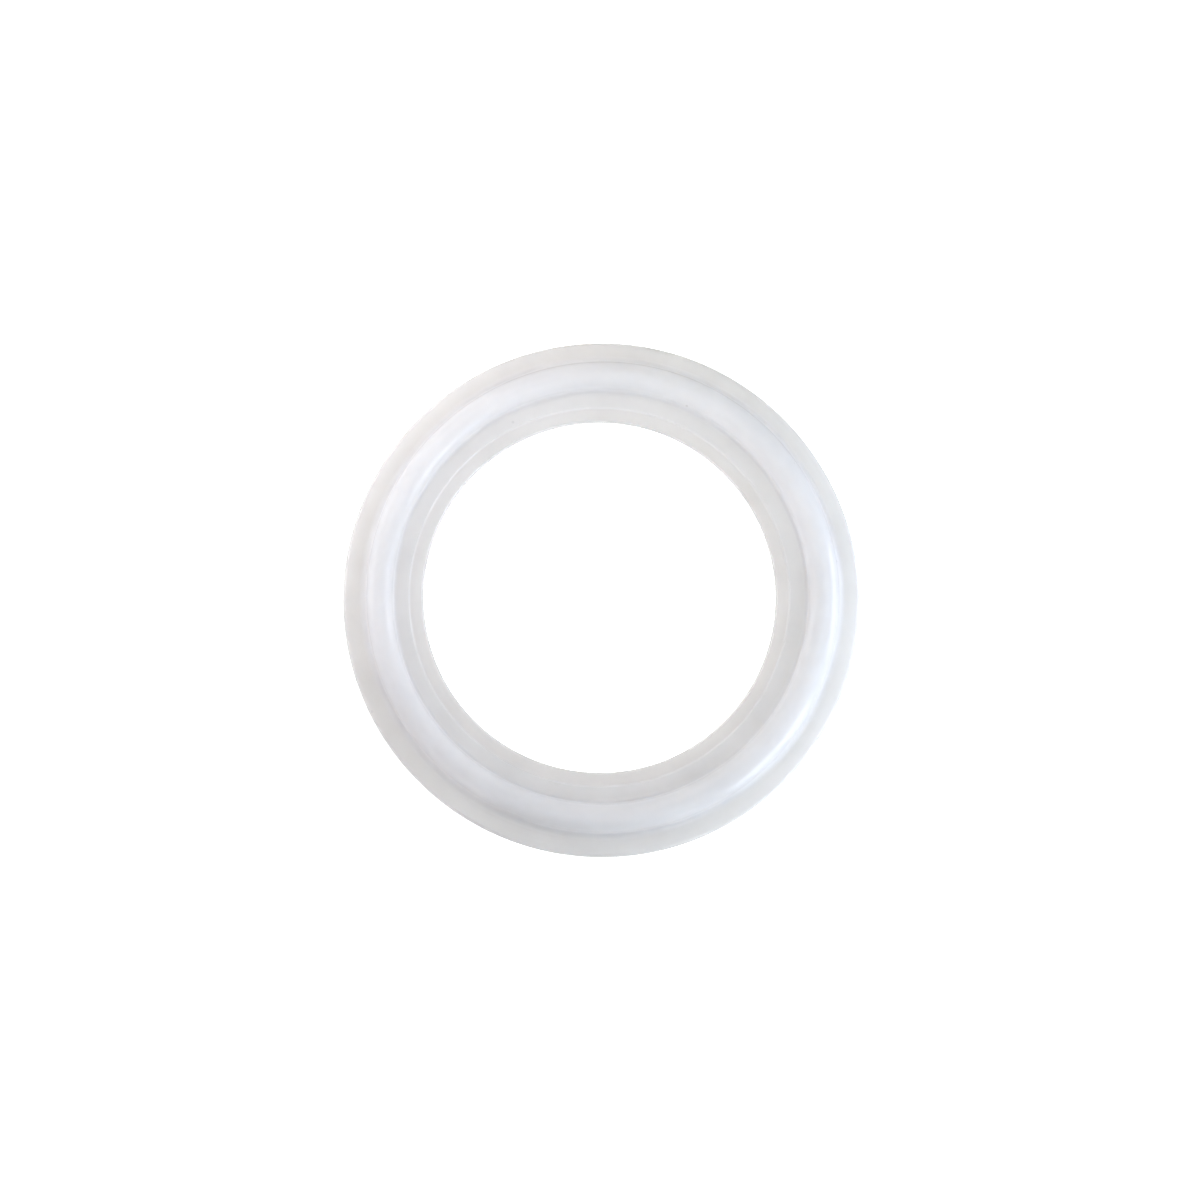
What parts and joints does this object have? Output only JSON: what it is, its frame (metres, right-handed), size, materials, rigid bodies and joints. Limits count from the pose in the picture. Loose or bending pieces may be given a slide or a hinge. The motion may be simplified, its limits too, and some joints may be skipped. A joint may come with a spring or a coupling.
{
  "type": "sanitary clamp gasket",
  "caption": "Flat silicone ring with a half-round bead on each face and a thin inner lip, seals two clamped sanitary pipe ferrules.",
  "frame": {"origin": "centre of the bore, halfway through the ring on the plane where the two mould halves meet", "axes": "+Z along the ring's axis, out of one of its two equal faces; the ring lies flat in X and Y"},
  "size_m": [0.0506, 0.0506, 0.0046],
  "materials": {
    "silicone": "milky translucent silicone rubber, satin from the mould"
  },
  "bodies": {
    "root": {"gasket": "silicone"}
  },
  "joints": []
}
